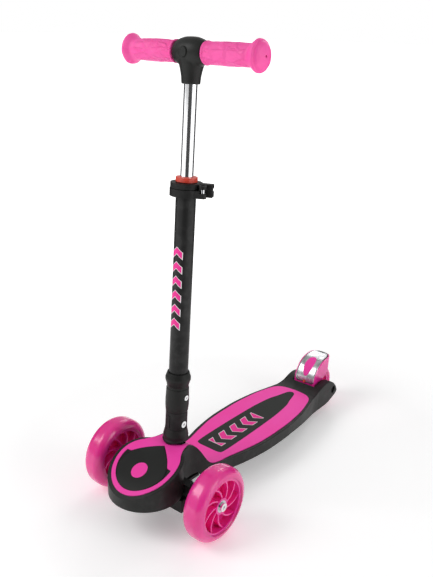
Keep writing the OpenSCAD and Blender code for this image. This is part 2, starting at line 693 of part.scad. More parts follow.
module brake_spring() color(steel) place() translate([0, brake_pin_y, brake_pin_z]) for (s = [-1, 1])
    translate([s * 14 - 3, 0, 0]) rotate([0, 90, 0]) coil(brake_pin_d / 2 + 1.3, 1.4, 3, 6, 12, 6);

// ---------- Folding column ----------

outer_r = outer_tube_d / 2;
outer_in = outer_r - outer_wall;
yoke_r = outer_r + 2.75;
spigot_r = yoke_r - 1.75;
yoke_top = 89;
collar_top = 54.5;
tongue_half = 7;
tongue_r = 9;

// Flared boot round the foot of the column; its foot is cut so that it clears the head when it leans
module boot_collar() color(black) difference() {
    column() rotate_extrude() polygon([[neck_r, 20], [24, 20], [24, 33], [22.6, 35], [22.6, 39], [23, 40],
        [22, 46], [yoke_r + 0.65, 52], [yoke_r + 0.45, collar_top], [spigot_r, collar_top], [spigot_r, 40],
        [neck_r, 40]]);
    place() for (s = [-1, 1]) translate([0, 0, lean_z]) rotate([0, s * lean_max, 0])
        box([-60, 60], [-60, 60], [0, head_top_z - lean_z + 0.6]);
}

module fold_yoke() color(black) column() difference() {
    union() {
        translate([0, 0, 40]) cylinder(h = collar_top - 39, r = spigot_r);
        translate([0, 0, collar_top]) cylinder(h = yoke_top - collar_top, r = yoke_r);
    }
    translate([0, 0, 39]) cylinder(h = 9, r = neck_r);
    // Slot for the tongue, open to the rear and the top
    box([-tongue_half, tongue_half], [-tongue_r - gap, 40], [fold_s - tongue_r - gap, yoke_top + 1]);
    // Rounded rear edge that lets the upper column pass
    difference() {
        box([-40, 40], [0, 40], [fold_s, yoke_top + 1]);
        translate([0, 0, fold_s]) along_x(-50, 50, yoke_top - fold_s);
    }
    translate([0, 0, fold_s]) {
        along_x(-40, 40, fold_bolt_d / 2);
        // Flats for the bolt's head and nut
        for (s = [-1, 1]) translate([s * (outer_r + 10), 0, 0]) along_x(-11, 11, 8);
    }
    // Moulded step on the front
    box([1, 2.2], [-yoke_r - 1, -yoke_r + 1.2], [58, yoke_top - 6]);
    box([-12, 2.2], [-yoke_r - 1, -yoke_r + 1.2], [yoke_top - 7.2, yoke_top - 6]);
}
module fold_bolt() color(chrome) column() translate([0, 0, fold_s]) {
    along_x(-outer_r + 1, outer_r - 1, fold_bolt_d / 2 - run_fit);
    difference() {
        along_x(outer_r - 1, outer_r + 1.5, 6.2);
        along_x(outer_r + 0.2, outer_r + 3, 2.5);
    }
}
module fold_nut() color(steel) column() translate([0, 0, fold_s]) difference() {
    rotate([0, 90, 0]) translate([0, 0, -outer_r - 2]) cylinder(h = 3, r = 6.8, $fn = 6);
    along_x(-40, 40, fold_bolt_d / 2 - run_fit);
}

plug_top = 150;
plug_r = outer_in;
sleeve_pin_s = 118.3;
sleeve_pin_d = 5;
module pin_slot(half) {
    for (z = [0, sleeve_travel]) translate([0, 0, sleeve_pin_s + z]) along_x(-half, half, sleeve_pin_d / 2 + 0.3);
    box([-half, half], [-sleeve_pin_d / 2 - 0.3, sleeve_pin_d / 2 + 0.3], [sleeve_pin_s, sleeve_pin_s + sleeve_travel]);
}
module fold_tongue() color(steel) column() difference() {
    union() {
        translate([0, 0, fold_s]) along_x(-tongue_half + 0.4, tongue_half - 0.4, tongue_r);
        box([-tongue_half + 0.4, tongue_half - 0.4], [-tongue_r, tongue_r], [fold_s, yoke_top + 4]);
        translate([0, 0, yoke_top + 0.4]) cylinder(h = plug_top - yoke_top - 0.4, r = plug_r);
    }
    translate([0, 0, fold_s]) along_x(-40, 40, fold_bolt_d / 2);
    pin_slot(40);
    translate([0, 0, sleeve_pin_s]) cylinder(h = plug_top - sleeve_pin_s - 3, r = 5.5);
}

module outer_tube() color(black) column() difference() {
    tube(outer_r, outer_in, yoke_top + 0.4, tube_top_s);
    pin_slot(40);
    // Slit that lets the clamp close the tube
    rotate([0, 0, ear_angle]) box([0, 30], [-1, 1], [tube_top_s - 26, tube_top_s + 1]);
}

module sleeve_spring() color(steel) column() translate([0, 0, sleeve_pin_s + sleeve_pin_d / 2 + 0.9])
    coil(4, 1.2, 6, plug_top - 3 - sleeve_pin_s - sleeve_pin_d / 2 - 2.6);

sleeve_top = 133.5;
sleeve_neck_r = outer_r + 2.2;
sleeve_seat = outer_r + 2.5;
sleeve_in = outer_r + 0.35;
module lock_sleeve() color(black) column() difference() {
    rotate_extrude() polygon([[sleeve_in, yoke_top + 0.6], [outer_r + 3.1, yoke_top + 0.6], [outer_r + 3.6, 94],
        [outer_r + 4.1, 100], [outer_r + 4.2, 112], [outer_r + 3.7, 122], [outer_r + 3.2, sleeve_top],
        [sleeve_neck_r, sleeve_top], [sleeve_neck_r, 160], [sleeve_in, 160]]);
    translate([0, 0, sleeve_pin_s]) {
        along_x(-40, 40, sleeve_pin_d / 2);
        for (s = [-1, 1]) translate([s * (sleeve_seat + 6), 0, 0]) along_x(-6, 6, 5.2);
    }
}
module sleeve_bolt() color(chrome) column() translate([0, 0, sleeve_pin_s]) {
    along_x(-sleeve_seat, sleeve_seat, sleeve_pin_d / 2);
    difference() {
        union() {
            along_x(sleeve_seat, sleeve_seat + 2.1, 4.9);
            along_x(-sleeve_seat - 1.7, -sleeve_seat, 4.9);
        }
        along_x(sleeve_seat + 1.1, sleeve_seat + 3, 2);
    }
}
module pull_ring() color(black) column() rotate_extrude() polygon([[sleeve_neck_r, 138.4],
    [outer_r + 2.6, 138.4], [outer_r + 3.2, 142], [outer_r + 5.7, 150], [outer_r + 5.7, 154], [outer_r + 2.6, 163.5],
    [sleeve_in, 163.5], [sleeve_in, 160], [sleeve_neck_r, 160]]);

// ---------- Quick-release clamp ----------

ear_angle = 25;
clamp_z = [tube_top_s - 22, tube_top_s - 1];
clamp_in = outer_r;
clamp_out = outer_r + 5.5;
band_out = outer_r + 9.5;
band_z = tube_top_s - 10;
ear_r = outer_r + 14;
ear_end = outer_r + 28;
cam_y = -14;
cam_r = 6.4;
module clamp_collar() color(black) column() rotate([0, 0, ear_angle]) difference() {
    union() {
        tube(clamp_out, clamp_in, clamp_z[0], clamp_z[1]);
        tube(band_out, clamp_in, band_z, clamp_z[1]);
        box([clamp_in + 1, ear_end], [-7, 7], clamp_z);
    }
    // Notch in the end of the ears
    translate([ear_end + 2, 0, (clamp_z[0] + clamp_z[1]) / 2 + 1]) along_y(-10, 10, 3.5);
    box([0, 60], [-1, 1], [clamp_z[0] - 1, clamp_z[1] + 1]);
    translate([0, 0, clamp_z[0] - 1]) cylinder(h = 40, r = clamp_in);
    translate([ear_r, 0, (clamp_z[0] + clamp_z[1]) / 2]) along_y(-30, 30, 3);
}
module clamp_bolt() color(steel) column() rotate([0, 0, ear_angle])
    translate([ear_r, 0, (clamp_z[0] + clamp_z[1]) / 2]) {
        along_y(cam_y, 11.5, 3);
        // Cross pin that the lever's cam turns on
        translate([0, cam_y, -8.5]) cylinder(h = 17, r = 3.5);
    }
module clamp_nut() color(steel) column() rotate([0, 0, ear_angle])
    translate([ear_r, 0, (clamp_z[0] + clamp_z[1]) / 2]) difference() {
        along_y(7, 12, 5.4);
        along_y(0, 20, 3);
    }
lever_in = clamp_out + 0.7;
lever_out = band_out + 0.8;
lever_z = [clamp_z[0] - 1, band_z - 0.6];
module clamp_lever() color(black) column() rotate([0, 0, ear_angle]) difference() {
    union() {
        translate([ear_r, cam_y, lever_z[0]]) cylinder(h = clamp_z[1] - 1 - lever_z[0], r = cam_r);
        // Curved handle that lies round the front of the collar
        intersection() {
            tube(lever_out, lever_in, lever_z[0], lever_z[1]);
            union() {
                box([-60, 60], [-60, cam_y], [0, 600]);
                box([-60, 0], [-60, 9], [0, 600]);
            }
        }
        box([12, ear_r], [cam_y - cam_r, cam_y - 1], lever_z);
    }
    translate([0, 0, clamp_z[0] - 2]) cylinder(h = 40, r = lever_in);
    translate([ear_r, cam_y, clamp_z[0] - 2]) cylinder(h = 40, r = 3.5 + run_fit);
    // Slot that the clamp bolt swings in
    translate([ear_r, cam_y, (clamp_z[0] + clamp_z[1]) / 2 - 3.4]) linear_extrude(6.8)
        polygon([[-3.6, -8], [9, -8], [9, 9], [-3.6, 9]]);
}

module tube_bush() color(red) column() difference() {
    union() {
        translate([0, 0, tube_top_s - 34]) cylinder(h = 34, r = outer_in);
        translate([0, 0, tube_top_s]) cylinder(h = 7.5, r = outer_r + 1);
    }
    translate([0, 0, tube_top_s - 40]) cylinder(h = 60, r = inner_tube_d / 2 + run_fit);
    rotate([0, 0, 170]) box([0, 30], [-1.2, 1.2], [tube_top_s - 40, tube_top_s + 10]);
}

// ---------- Telescoping handlebar ----------

inner_r = inner_tube_d / 2;
inner_foot = plug_top + bar_travel + 44.5;
guide_r = outer_in - 0.08;
module inner_tube() color(chrome) column() tube(inner_r, inner_r - inner_wall, inner_foot, bar_s - 12);
module inner_guide() color(red) column() {
    translate([0, 0, inner_foot - 15]) cylinder(h = 15, r = guide_r);
    translate([0, 0, inner_foot - 1]) cylinder(h = 12, r = inner_r - inner_wall);
}

head_foot = bar_s - 47.5;
barrel_r = 22.9;
barrel_half = 28;
module t_head() color(black) column() difference() {
    union() {
        rotate_extrude() polygon([[0, head_foot], [14, head_foot], [15, head_foot + 1.2], [15.8, bar_s - 36],
            [17.6, bar_s - 27], [20, bar_s - 18], [21.4, bar_s - 8], [21.6, bar_s], [0, bar_s]]);
        translate([0, 0, bar_s]) rotate([0, 90, 0]) rotate_extrude() polygon(concat([[0, -barrel_half]],
            [for (x = [-barrel_half : 4 : barrel_half]) [barrel_r - 6.4 * pow(abs(x) / barrel_half, 2.6), x]],
            [[0, barrel_half]]));
    }
    translate([0, 0, head_foot - 1]) cylinder(h = 36.5, r = inner_r);
    translate([0, 0, bar_s]) along_x(-60, 60, bar_tube_d / 2);
    translate([0, 0, bar_s]) along_y(-40, -20.5, 7.5);
}
module t_head_cap() color(black) column() translate([0, 0, bar_s]) along_y(-23.6, -20.5, 7.5);

module bar_tube() color(steel) column() translate([0, 0, bar_s]) rotate([0, 90, 0])
    tube(bar_tube_d / 2, bar_tube_d / 2 - 1.5, -bar_w / 2 + 6, bar_w / 2 - 6);

grip_x = 28.6;
module grip() {
    r = bar_tube_d / 2;
    end = bar_w / 2;
    g = grip_d / 2;
    f = grip_flange_d / 2;
    rotate([0, 90, 0]) rotate_extrude() polygon([[r, grip_x], [g - 1, grip_x], [g + 0.4, grip_x + 1.5],
        [g + 0.6, grip_x + 3.5], [g - 0.8, grip_x + 6], [g - 0.6, 45], [g, 65], [g - 0.2, end - 50], [g - 1, end - 26],
        [g + 0.5, end - 21.5], [f - 2, end - 16.5], [f - 0.3, end - 14], [f, end - 12.5], [f, end - 10.5],
        [f - 1, end - 9], [f - 3.6, end - 8.2], [f - 4, end - 6.5], [f - 5.5, end - 4.6], [f - 10, end - 2.2],
        [f - 16, end - 0.7], [f - 20, end], [1.5, end], [1.5, end - 6 + eps], [r, end - 6 + eps]]);
}
module grip_left() color(pink) column() translate([0, 0, bar_s]) grip();
module grip_right() color(pink) column() translate([0, 0, bar_s]) mirror([1, 0, 0]) grip();

// ---------- Assembly ----------

deck_shell();
top_overlay();
grip_panel();
head_inset();
head_button();
bottom_cover();
cover_screws();
front_frame();
lean_pin();
kingpins();
kingpin_nuts();
lean_spring_left();
lean_spring_right();
lean_block();
boot_collar();
fold_yoke();
fold_bolt();
fold_nut();
fold_tongue();
outer_tube();
tube_bush();
clamp_collar();
clamp_bolt();
clamp_nut();
sleeve_spring();
clamp_lever();
lock_sleeve();
pull_ring();
sleeve_bolt();
inner_tube();
inner_guide();
t_head();
t_head_cap();
bar_tube();
grip_left();
grip_right();
tie_rod();
knuckle_left();
knuckle_right();
axle_left();
axle_right();
tyre_left();
tyre_right();
hub_left();
hub_right();
bearings_left();
bearings_right();
rear_tyre();
rear_hub();
rear_bearings();
rear_axle();
rear_axle_nut();
rear_spacers();
brake_fender();
brake_plate();
brake_pad();
brake_rivet();
brake_pin();
brake_spring();
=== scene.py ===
import json
import math

import bpy
from mathutils import Matrix, Vector


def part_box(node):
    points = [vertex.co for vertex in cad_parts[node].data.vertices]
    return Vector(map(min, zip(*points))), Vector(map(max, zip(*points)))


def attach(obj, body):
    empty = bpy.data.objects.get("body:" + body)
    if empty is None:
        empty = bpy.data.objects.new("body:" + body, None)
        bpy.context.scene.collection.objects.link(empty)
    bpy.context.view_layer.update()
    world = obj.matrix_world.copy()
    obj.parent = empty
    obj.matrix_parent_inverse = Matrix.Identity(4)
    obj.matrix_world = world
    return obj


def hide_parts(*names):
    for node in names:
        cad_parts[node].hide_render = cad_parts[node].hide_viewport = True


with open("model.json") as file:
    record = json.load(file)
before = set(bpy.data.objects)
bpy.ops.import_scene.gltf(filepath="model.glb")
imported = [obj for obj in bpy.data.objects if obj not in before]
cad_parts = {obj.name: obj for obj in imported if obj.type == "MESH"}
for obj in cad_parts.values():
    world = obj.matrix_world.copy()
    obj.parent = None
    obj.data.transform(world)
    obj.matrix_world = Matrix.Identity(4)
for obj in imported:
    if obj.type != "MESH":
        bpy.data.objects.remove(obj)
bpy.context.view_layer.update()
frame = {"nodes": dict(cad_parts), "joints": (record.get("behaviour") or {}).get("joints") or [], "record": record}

NODES = frame["nodes"]
JOINTS = {j["name"]: j for j in frame["joints"]}
MM = 0.001
WHITE = (1, 1, 1, 1)

# The column's foot stands this far behind the front axles
AXLE_TO_COLUMN = 0.033
COLUMN_Y = JOINTS["wheel_left_spin"]["pos_m"][1] + AXLE_TO_COLUMN

# ---------- Camera, at the photograph's viewing angle ----------

FRAME_SIZE = (433, 577)
SENSOR = 36.0
AZIMUTH, ELEVATION, ROLL = 38.25, 20.14, 1.53
DISTANCE = 1.30111
FOCAL_PX = 719.12
TARGET = Vector((0, COLUMN_Y + 0.11019, 0.39106))


def link_object(name, data):
    """A new object in the scene for a mesh, a light or a camera."""
    obj = bpy.data.objects.new(name, data)
    bpy.context.scene.collection.objects.link(obj)
    return obj


def add_camera():
    """A camera that looks at TARGET from the named angles; FOCAL_PX is for the frame's longer side."""
    a, e, t = (math.radians(v) for v in (AZIMUTH, ELEVATION, ROLL))
    back = Vector((math.sin(a) * math.cos(e), -math.cos(a) * math.cos(e), math.sin(e)))
    level = Vector((math.cos(a), math.sin(a), 0))
    upright = back.cross(level)
    right = level * math.cos(t) + upright * math.sin(t)
    up = upright * math.cos(t) - level * math.sin(t)
    cam = bpy.data.cameras.new("camera")
    cam.sensor_fit = "AUTO"
    cam.sensor_width = SENSOR
    cam.lens = FOCAL_PX * SENSOR / max(FRAME_SIZE)
    cam.clip_start = 0.05
    cam.clip_end = 50
    obj = link_object("camera", cam)
    place = TARGET + back * DISTANCE
    obj.matrix_world = Matrix((
        (right.x, up.x, back.x, place.x),
        (right.y, up.y, back.y, place.y),
        (right.z, up.z, back.z, place.z),
        (0, 0, 0, 1),
    ))
    bpy.context.scene.camera = obj


add_camera()

# ---------- Node materials ----------


class Shade:
    """A small builder for node materials."""

    def __init__(self, name):
        self.mat = bpy.data.materials.new(name)
        self.mat.use_nodes = True
        self.tree = self.mat.node_tree
        self.bsdf = self.tree.nodes["Principled BSDF"]
        self.coord = self.tree.nodes.new("ShaderNodeTexCoord").outputs["Object"]

    def add(self, kind, **values):
        """A new node; each value goes to the input of that name, or else to the setting of that name."""
        node = self.tree.nodes.new(kind)
        for key, value in values.items():
            if key in node.inputs:
                node.inputs[key].default_value = value
            else:
                setattr(node, key, value)
        return node

    def link(self, source, target):
        self.tree.links.new(source, target)

    def feed(self, value, target):
        """Gives an input a number or another node's output."""
        if isinstance(value, (int, float)):
            target.default_value = value
        else:
            self.link(value, target)

    def axes(self):
        node = self.add("ShaderNodeSeparateXYZ")
        self.link(self.coord, node.inputs[0])
        return node.outputs

    def noise(self, scale, detail=3.0, rough=0.55, stretch=(1, 1, 1)):
        mapping = self.add("ShaderNodeMapping", Scale=stretch)
        self.link(self.coord, mapping.inputs["Vector"])
        node = self.add("ShaderNodeTexNoise", Scale=scale, Detail=detail, Roughness=rough)
        self.link(mapping.outputs["Vector"], node.inputs["Vector"])
        return node.outputs["Fac"]

    def cells(self, scale):
        node = self.add("ShaderNodeTexVoronoi", Scale=scale)
        self.link(self.coord, node.inputs["Vector"])
        return node.outputs["Distance"]

    def span(self, source, low, high, start=0.0, end=1.0):
        """Maps start to end onto low to high, and stops there."""
        node = self.add("ShaderNodeMapRange")
        for name, value in (("From Min", start), ("From Max", end), ("To Min", low), ("To Max", high)):
            node.inputs[name].default_value = value
        self.link(source, node.inputs["Value"])
        return node.outputs["Result"]

    def math(self, kind, *values):
        node = self.add("ShaderNodeMath", operation=kind)
        for value, target in zip(values, node.inputs):
            self.feed(value, target)
        return node.outputs[0]

    def mix(self, factor, a, b):
        """A blend of two colours, each a tuple or another node's output."""
        node = self.add("ShaderNodeMix", data_type="RGBA")
        self.feed(factor, node.inputs["Factor"])
        for name, value in (("A", a), ("B", b)):
            socket = [s for s in node.inputs if s.name == name and s.type == "RGBA"][0]
            if isinstance(value, tuple):
                socket.default_value = (*value, 1)
            else:
                self.link(value, socket)
        return [s for s in node.outputs if s.type == "RGBA"][0]

    def bump(self, *layers, radius=0.0):
        """layers are (height, strength, distance), chained one on another, on edges rounded by radius."""
        normal = None
        if radius:
            normal = self.add("ShaderNodeBevel", samples=4, Radius=radius).outputs["Normal"]
        for height, strength, distance in layers:
            node = self.add("ShaderNodeBump", Strength=strength, Distance=distance)
            self.link(height, node.inputs["Height"])
            if normal is not None:
                self.link(normal, node.inputs["Normal"])
            normal = node.outputs["Normal"]
        self.link(normal, self.bsdf.inputs["Normal"])

    def pointiness(self, low, high, start, end):
        """How sharply the surface bends, mapped as in span; folds are under 0.5 and edges over it."""
        geometry = self.add("ShaderNodeNewGeometry")
        return self.span(geometry.outputs["Pointiness"], low, high, start, end)

    def color(self, source):
        self.link(source, self.bsdf.inputs["Base Color"])

    def roughness(self, source):
        self.link(source, self.bsdf.inputs["Roughness"])

    def set(self, **values):
        for key, value in values.items():
            self.bsdf.inputs[key.replace("_", " ")].default_value = value


def plastic(name, color, light, rough=(0.36, 0.5), grain=1400.0, grain_depth=0.00005, wear=0.25,
            radius=0.0012, graphic=None, **extra):
    """Moulded plastic: slight colour drift, fine grain, paler worn edges."""
    s = Shade(name)
    drift = s.noise(9.0, 2.0)
    base = s.mix(s.span(drift, 0.0, 1.0, 0.35, 0.7), color, light)
    rubbed = s.span(s.noise(60.0, 4.0), 0.0, wear, 0.45, 0.7)
    worn = s.math("MULTIPLY", s.pointiness(0.0, 1.0, 0.52, 0.6), rubbed)
    pale = tuple(min(1.0, c * 1.6 + 0.03) for c in light)
    shown = s.mix(worn, base, pale)
    if graphic:
        shown = graphic(s, shown)
    s.color(shown)
    s.roughness(s.span(s.noise(35.0, 5.0), *rough))
    s.bump((s.noise(grain, 2.0), 0.35, grain_depth), (s.noise(70.0, 2.0), 0.12, 0.0004), radius=radius)
    s.set(**extra)
    return s.mat


# The veins fade out over this stretch, short of the grip's end cap
GRIP_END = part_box("grip_left")[1][0]
VEINS_FADE = (GRIP_END - 0.03, GRIP_END - 0.024)
WANDER = 0.012
VEIN_STRETCH = 0.42
VEIN_WIDTH = 0.22


def veins(s):
    """Ridges along the walls between long, wandering cells, on the grip's sleeve only."""
    wander = s.add("ShaderNodeTexNoise", Scale=55.0, Detail=2.0)
    s.link(s.coord, wander.inputs["Vector"])
    bent = s.add("ShaderNodeVectorMath", operation="MULTIPLY_ADD")
    s.link(wander.outputs["Color"], bent.inputs[0])
    bent.inputs[1].default_value = (WANDER, WANDER, WANDER)
    s.link(s.coord, bent.inputs[2])
    drawn_out = s.add("ShaderNodeMapping", Scale=(VEIN_STRETCH, 1, 1))
    s.link(bent.outputs["Vector"], drawn_out.inputs["Vector"])
    wall = s.add("ShaderNodeTexVoronoi", Scale=95.0, feature="DISTANCE_TO_EDGE")
    s.link(drawn_out.outputs["Vector"], wall.inputs["Vector"])
    sleeve = s.span(s.math("ABSOLUTE", s.axes()["X"]), 1.0, 0.0, *VEINS_FADE)
    return s.math("MULTIPLY", s.span(wall.outputs["Distance"], 1.0, 0.0, 0.0, VEIN_WIDTH), sleeve)


def rubber_grip(name, color, light):
    """Soft rubber with a cast, vein-like relief, and painted shade that darkens its folds."""
    s = Shade(name)
    base = s.mix(s.span(s.noise(25.0), 0.0, 1.0, 0.35, 0.7), color, light)
    # Painted shade: the colour darkens where the surface folds inwards
    folds = s.pointiness(0.45, 0.0, 0.42, 0.5)
    s.color(s.mix(folds, base, tuple(c * 0.62 for c in color)))
    s.roughness(s.span(s.noise(80.0, 4.0), 0.42, 0.6))
    s.bump((s.noise(900.0, 2.0), 0.3, 0.00008), (veins(s), 0.8, 0.0015), (s.noise(120.0), 0.2, 0.0004))
    s.set(Subsurface_Weight=0.12, Subsurface_Radius=(0.006, 0.002, 0.003), Subsurface_Scale=1.0)
    return s.mat


def metal(name, color, rough, streak=0.0, dark=0.93):
    """Bare or plated metal; streak draws out and deepens its lines, and dark is the smears' shade."""
    s = Shade(name)
    patches = s.span(s.noise(55.0, 5.0, 0.65, (1, 1, 0.35)), 0.0, 1.0, 0.4, 0.68)
    s.color(s.mix(patches, color, tuple(c * dark for c in color)))
    smear = s.noise(18.0, 5.0, 0.6)
    s.roughness(s.span(smear, rough * 0.8, rough * 1.3, 0.35, 0.65))
    lines = s.noise(600.0, 2.0, 0.5, (1, 1, 0.08 if streak else 1))
    s.bump((lines, 0.06 + streak, 0.0002))
    s.set(Metallic=1.0)
    return s.mat


def anti_slip(name, color, light, graphic):
    """Dark panel with a fine gritty grain."""
    s = Shade(name)
    speck = s.cells(900.0)
    grain = s.noise(420.0, 4.0, 0.7)
    s.color(graphic(s, s.mix(s.span(grain, 0.0, 1.0, 0.35, 0.68), color, light)))
    s.set(Specular_IOR_Level=0.3)
    s.roughness(s.span(grain, 0.55, 0.8))
    s.bump((speck, 0.5, 0.00025), (grain, 0.4, 0.0003))
    return s.mat


def cast_urethane(name, color, deep, glow=0.35):
    """Cast coloured polyurethane: glossy, slightly see-through, with faint flow marks."""
    s = Shade(name)
    flow = s.noise(14.0, 4.0, 0.6)
    s.color(s.mix(s.span(flow, 0.0, 1.0, 0.35, 0.68), deep, color))
    s.roughness(s.span(s.noise(45.0, 4.0), 0.16, 0.32))
    s.bump((s.noise(160.0, 2.0), 0.08, 0.0003), (s.noise(30.0), 0.1, 0.0006))
    s.set(Subsurface_Weight=glow, Subsurface_Radius=(0.02, 0.004, 0.008), Subsurface_Scale=1.0,
          Coat_Weight=0.35, Coat_Roughness=0.12)
    return s.mat


PRINT_PINK = (0.9, 0.035, 0.32)
PRINT_PALE = (0.86, 0.84, 0.86)
OUTLINE = 0.0011
EDGE_BLUR = 0.0002
# Half a chevron's thickness, as a share of the pitch
CHEVRON_HALF = 0.26
RAKE_SLOPE = 0.049


def chevrons(s, base, across, along, half, start, end, pitch, slope):
    """A printed row of pink chevrons with a pale outline; across and along are lengths in metres."""
    v = s.math("ADD", along, s.math("MULTIPLY", s.math("ABSOLUTE", across), slope))
    step = s.math("ABSOLUTE", s.math("SUBTRACT", s.math("FRACT", s.math("DIVIDE", v, pitch)), 0.5))
    stroke = s.math("MULTIPLY", s.math("SUBTRACT", CHEVRON_HALF, step), pitch)
    side = s.math("SUBTRACT", half, s.math("ABSOLUTE", across))
    ends = s.math("MINIMUM", s.math("SUBTRACT", along, start), s.math("SUBTRACT", end, along))
    depth = s.math("MINIMUM", stroke, s.math("MINIMUM", side, ends))
    pale_mask = s.span(depth, 0.0, 1.0, 0.0, EDGE_BLUR)
    pink_mask = s.span(depth, 0.0, 1.0, OUTLINE, OUTLINE + EDGE_BLUR)
    printed = s.mix(pink_mask, PRINT_PALE, PRINT_PINK)
    return s.mix(pale_mask, base, printed)


def column_graphic(s, base):
    """Chevrons up the front of the raked lower tube; a mask keeps them off its back."""
    axes = s.axes()
    printed = chevrons(s, base, axes["X"], axes["Z"], half=0.0105, start=0.345, end=0.495, pitch=0.025,
                       slope=0.9)
    raked_y = s.math("ADD", axes["Y"], s.math("MULTIPLY", axes["Z"], -RAKE_SLOPE))
    front = s.span(raked_y, 1.0, 0.0, COLUMN_Y - 0.0105, COLUMN_Y - 0.0085)
    return s.mix(front, base, printed)


def panel_graphic(s, base):
    """A short row of wide chevrons at the front of the deck's panel."""
    axes = s.axes()
    return chevrons(s, base, axes["X"], axes["Y"], half=0.017, start=COLUMN_Y + 0.118,
                    end=COLUMN_Y + 0.262, pitch=0.036, slope=-0.7)


PINK = (1.0, 0.052, 0.42)
PINK_LIGHT = (1.0, 0.07, 0.46)
BLACK = (0.0135, 0.014, 0.0132)
BLACK_LIGHT = (0.019, 0.0198, 0.0186)
COAT_LIGHT = (0.016, 0.016, 0.016)
ZINC = (0.66, 0.67, 0.69)
MATT = {"Specular_IOR_Level": 0.2}

MATS = {
    "shell_black": plastic("satin_black_moulding", BLACK, BLACK_LIGHT, rough=(0.36, 0.52), radius=0.0025,
                           **MATT),
    "frame_black": plastic("glass_filled_black", (0.010, 0.010, 0.010), COAT_LIGHT, rough=(0.4, 0.58),
                           **MATT),
    "column_black": plastic("column_black_coat", (0.012, 0.012, 0.012), COAT_LIGHT, rough=(0.3, 0.4),
                            grain=2200.0, wear=0.4, graphic=column_graphic, **MATT),
    "inlay_pink": plastic("pink_inlay_film", PINK, PINK_LIGHT, rough=(0.45, 0.55), grain=1800.0,
                          grain_depth=0.00003, wear=0.05, **MATT),
    "panel_black": anti_slip("gritty_black_panel", (0.014, 0.016, 0.014), (0.028, 0.031, 0.028),
                             panel_graphic),
    "wheel_pink": cast_urethane("pink_cast_hub", (0.98, 0.04, 0.38), (0.93, 0.025, 0.32), glow=0.3),
    "tyre_pink": cast_urethane("pink_cast_tyre", (0.93, 0.045, 0.35), (0.82, 0.022, 0.27)),
    "grip_pink": rubber_grip("pink_grip_rubber", (0.95, 0.075, 0.37), (1.0, 0.11, 0.43)),
    "chrome": metal("polished_chrome", (0.9, 0.905, 0.92), 0.1),
    "bolt_dark": metal("dark_bolt_steel", (0.05, 0.05, 0.052), 0.4),
    "trim": metal("streaky_trim", ZINC, 0.24, streak=0.25, dark=0.32),
    "steel": metal("zinc_plated_steel", ZINC, 0.28, streak=0.1),
    "bush_red": plastic("orange_red_bush", (0.72, 0.06, 0.035), (0.85, 0.1, 0.06), rough=(0.3, 0.42),
                        wear=0.1),
}

# The rear axle's bolt and nut are given the dark bolt steel instead of their slot's material
DARKER = {"rear_axle": "bolt_dark", "rear_axle_nut": "bolt_dark"}
slot_of = {e["node"]: e["material_slot"] for e in frame["record"]["subparts"]}
for name, obj in NODES.items():
    obj.data.materials.clear()
    obj.data.materials.append(MATS[DARKER.get(name, slot_of[name])])

# ---------- Softer shapes for moulded nodes ----------


def remeshed(name, voxel, rounds):
    """Evens out a CAD node's mesh and rounds its edges over by smoothing; voxel is in millimetres."""
    obj = NODES[name]
    mesh = obj.modifiers.new("even", "REMESH")
    mesh.mode = "VOXEL"
    mesh.voxel_size = voxel * MM
    mesh.use_smooth_shade = True
    smooth = obj.modifiers.new("round", "SMOOTH")
    smooth.factor = 0.5
    smooth.iterations = rounds
    return obj


remeshed("t_head", 0.8, 14)
remeshed("head_button", 0.4, 4)

# Soft waves on the grips, pressed inwards only
swirl = bpy.data.textures.new("grip_swirl", "CLOUDS")
swirl.noise_scale = 0.016
swirl.noise_depth = 2
for name in ("grip_left", "grip_right"):
    press = remeshed(name, 0.75, 2).modifiers.new("relief", "DISPLACE")
    press.texture = swirl
    press.texture_coords = "LOCAL"
    press.strength = 1.5 * MM
    press.mid_level = 1.0

# ---------- Refined pieces that stand for plainer CAD ones, in millimetres ----------


def curve_through(points, n=6):
    """A smooth line of (a, b) points through a few control points, n steps from one to the next."""
    out = []
    last = len(points) - 1
    for i in range(last):
        a, b, c, d = points[max(i - 1, 0)], points[i], points[i + 1], points[min(i + 2, last)]
        for k in range(n):
            t = k / n
            out.append(tuple(0.5 * (2 * b[j] + (c[j] - a[j]) * t
                                    + (2 * a[j] - 5 * b[j] + 4 * c[j] - d[j]) * t * t
                                    + (3 * b[j] - a[j] - 3 * c[j] + d[j]) * t ** 3) for j in (0, 1)))
    return out + [points[-1]]


def value_at(line, a):
    """The line's second value where its first is a; the first values rise."""
    for p, q in zip(line, line[1:]):
        if p[0] <= a <= q[0]:
            return p[1] + (q[1] - p[1]) * (a - p[0]) / (q[0] - p[0])
    return line[0][1] if a < line[0][0] else line[-1][1]


def grid_piece(name, rows, slot, body, stands_for, thick):
    """A sheet from rows of points, thickened inwards."""
    mesh = bpy.data.meshes.new(name)
    n = len(rows[0])
    points = [tuple(v * MM for v in p) for row in rows for p in row]
    faces = [(r * n + c, r * n + c + 1, (r + 1) * n + c + 1, (r + 1) * n + c)
             for r in range(len(rows) - 1) for c in range(n - 1)]
    mesh.from_pydata(points, [], faces)
    mesh.validate()
    for poly in mesh.polygons:
        poly.use_smooth = True
    obj = link_object(name, mesh)
    solid = obj.modifiers.new("thick", "SOLIDIFY")
    solid.thickness = thick * MM
    solid.offset = -1
    obj.data.materials.append(MATS[slot])
    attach(obj, body)
    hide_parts(stands_for)


